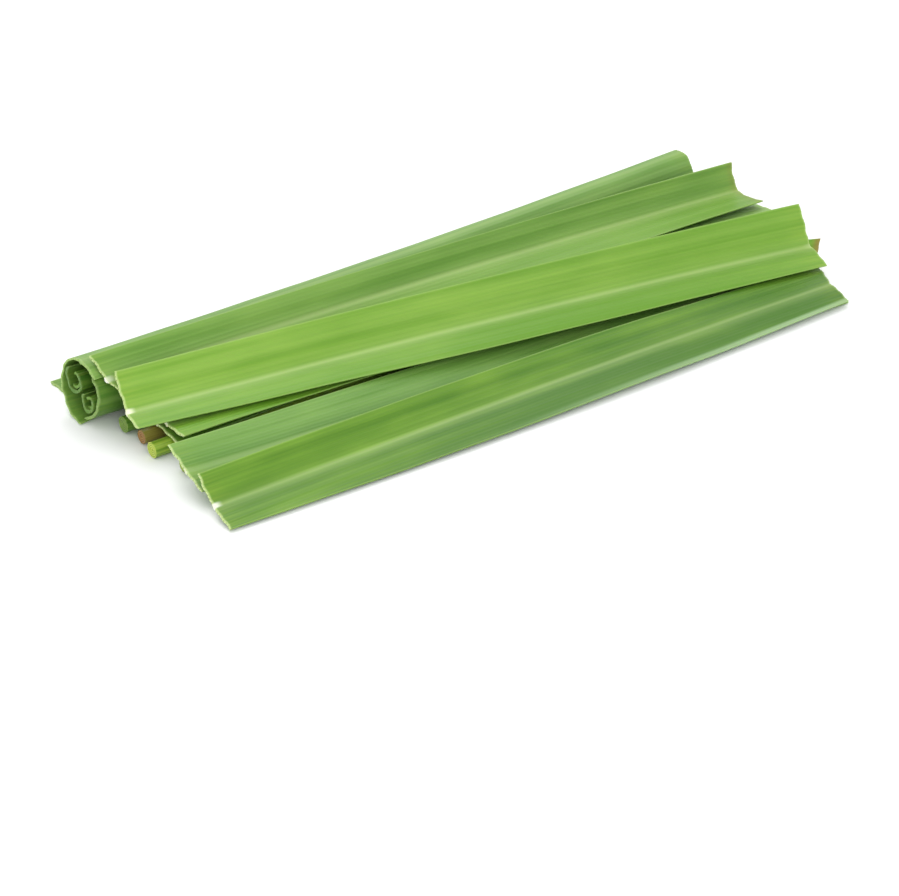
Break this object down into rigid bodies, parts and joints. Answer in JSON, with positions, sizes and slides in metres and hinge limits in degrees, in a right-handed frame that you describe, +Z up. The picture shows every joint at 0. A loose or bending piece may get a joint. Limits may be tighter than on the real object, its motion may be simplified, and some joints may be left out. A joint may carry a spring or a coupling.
{
  "type": "lemongrass stalk",
  "caption": "Cut length of fresh lemongrass lying flat: long folded green leaf blades nested round a rolled heart, with thin shoots beneath.",
  "frame": {"origin": "middle of the footprint, on the surface that the stalk lies on", "axes": "+X along the stalk, +Y from the flat blades at the front towards the rolled heart at the back, +Z up"},
  "size_m": [0.1768, 0.0773, 0.0163],
  "materials": {
    "base_back": "fresh green leaf, satin",
    "base_front": "fresh green leaf, satin",
    "blade_front": "fresh green leaf, satin",
    "blade_front_upper": "fresh green leaf with a waxy bloom",
    "blade_middle": "fresh green leaf, satin",
    "blade_middle_under": "fresh green leaf, satin",
    "blade_back": "fresh green leaf, satin",
    "blade_sliver": "fresh green leaf with a waxy bloom",
    "blade_bed": "fresh green leaf, satin",
    "roll_wrap_top": "fresh green leaf with a waxy bloom",
    "roll_wrap_front": "young rolled leaf, satin",
    "roll_curl_back": "young rolled leaf, satin",
    "roll_curl_front": "young rolled leaf, satin",
    "stem_back": "thin green shoot, satin",
    "stem_middle": "thin browning shoot, satin",
    "stem_front": "thin yellow-green shoot, satin",
    "stem_low": "thin green shoot, satin"
  },
  "bodies": {
    "root": {"base_back": "base_back", "base_front": "base_front", "blade_front": "blade_front", "blade_front_upper": "blade_front_upper", "blade_middle": "blade_middle", "blade_middle_under": "blade_middle_under", "blade_back": "blade_back", "blade_sliver": "blade_sliver", "blade_bed": "blade_bed", "roll_wrap_top": "roll_wrap_top", "roll_wrap_front": "roll_wrap_front", "roll_curl_back": "roll_curl_back", "roll_curl_front": "roll_curl_front", "stem_back": "stem_back", "stem_middle": "stem_middle", "stem_front": "stem_front", "stem_low": "stem_low"}
  },
  "joints": []
}
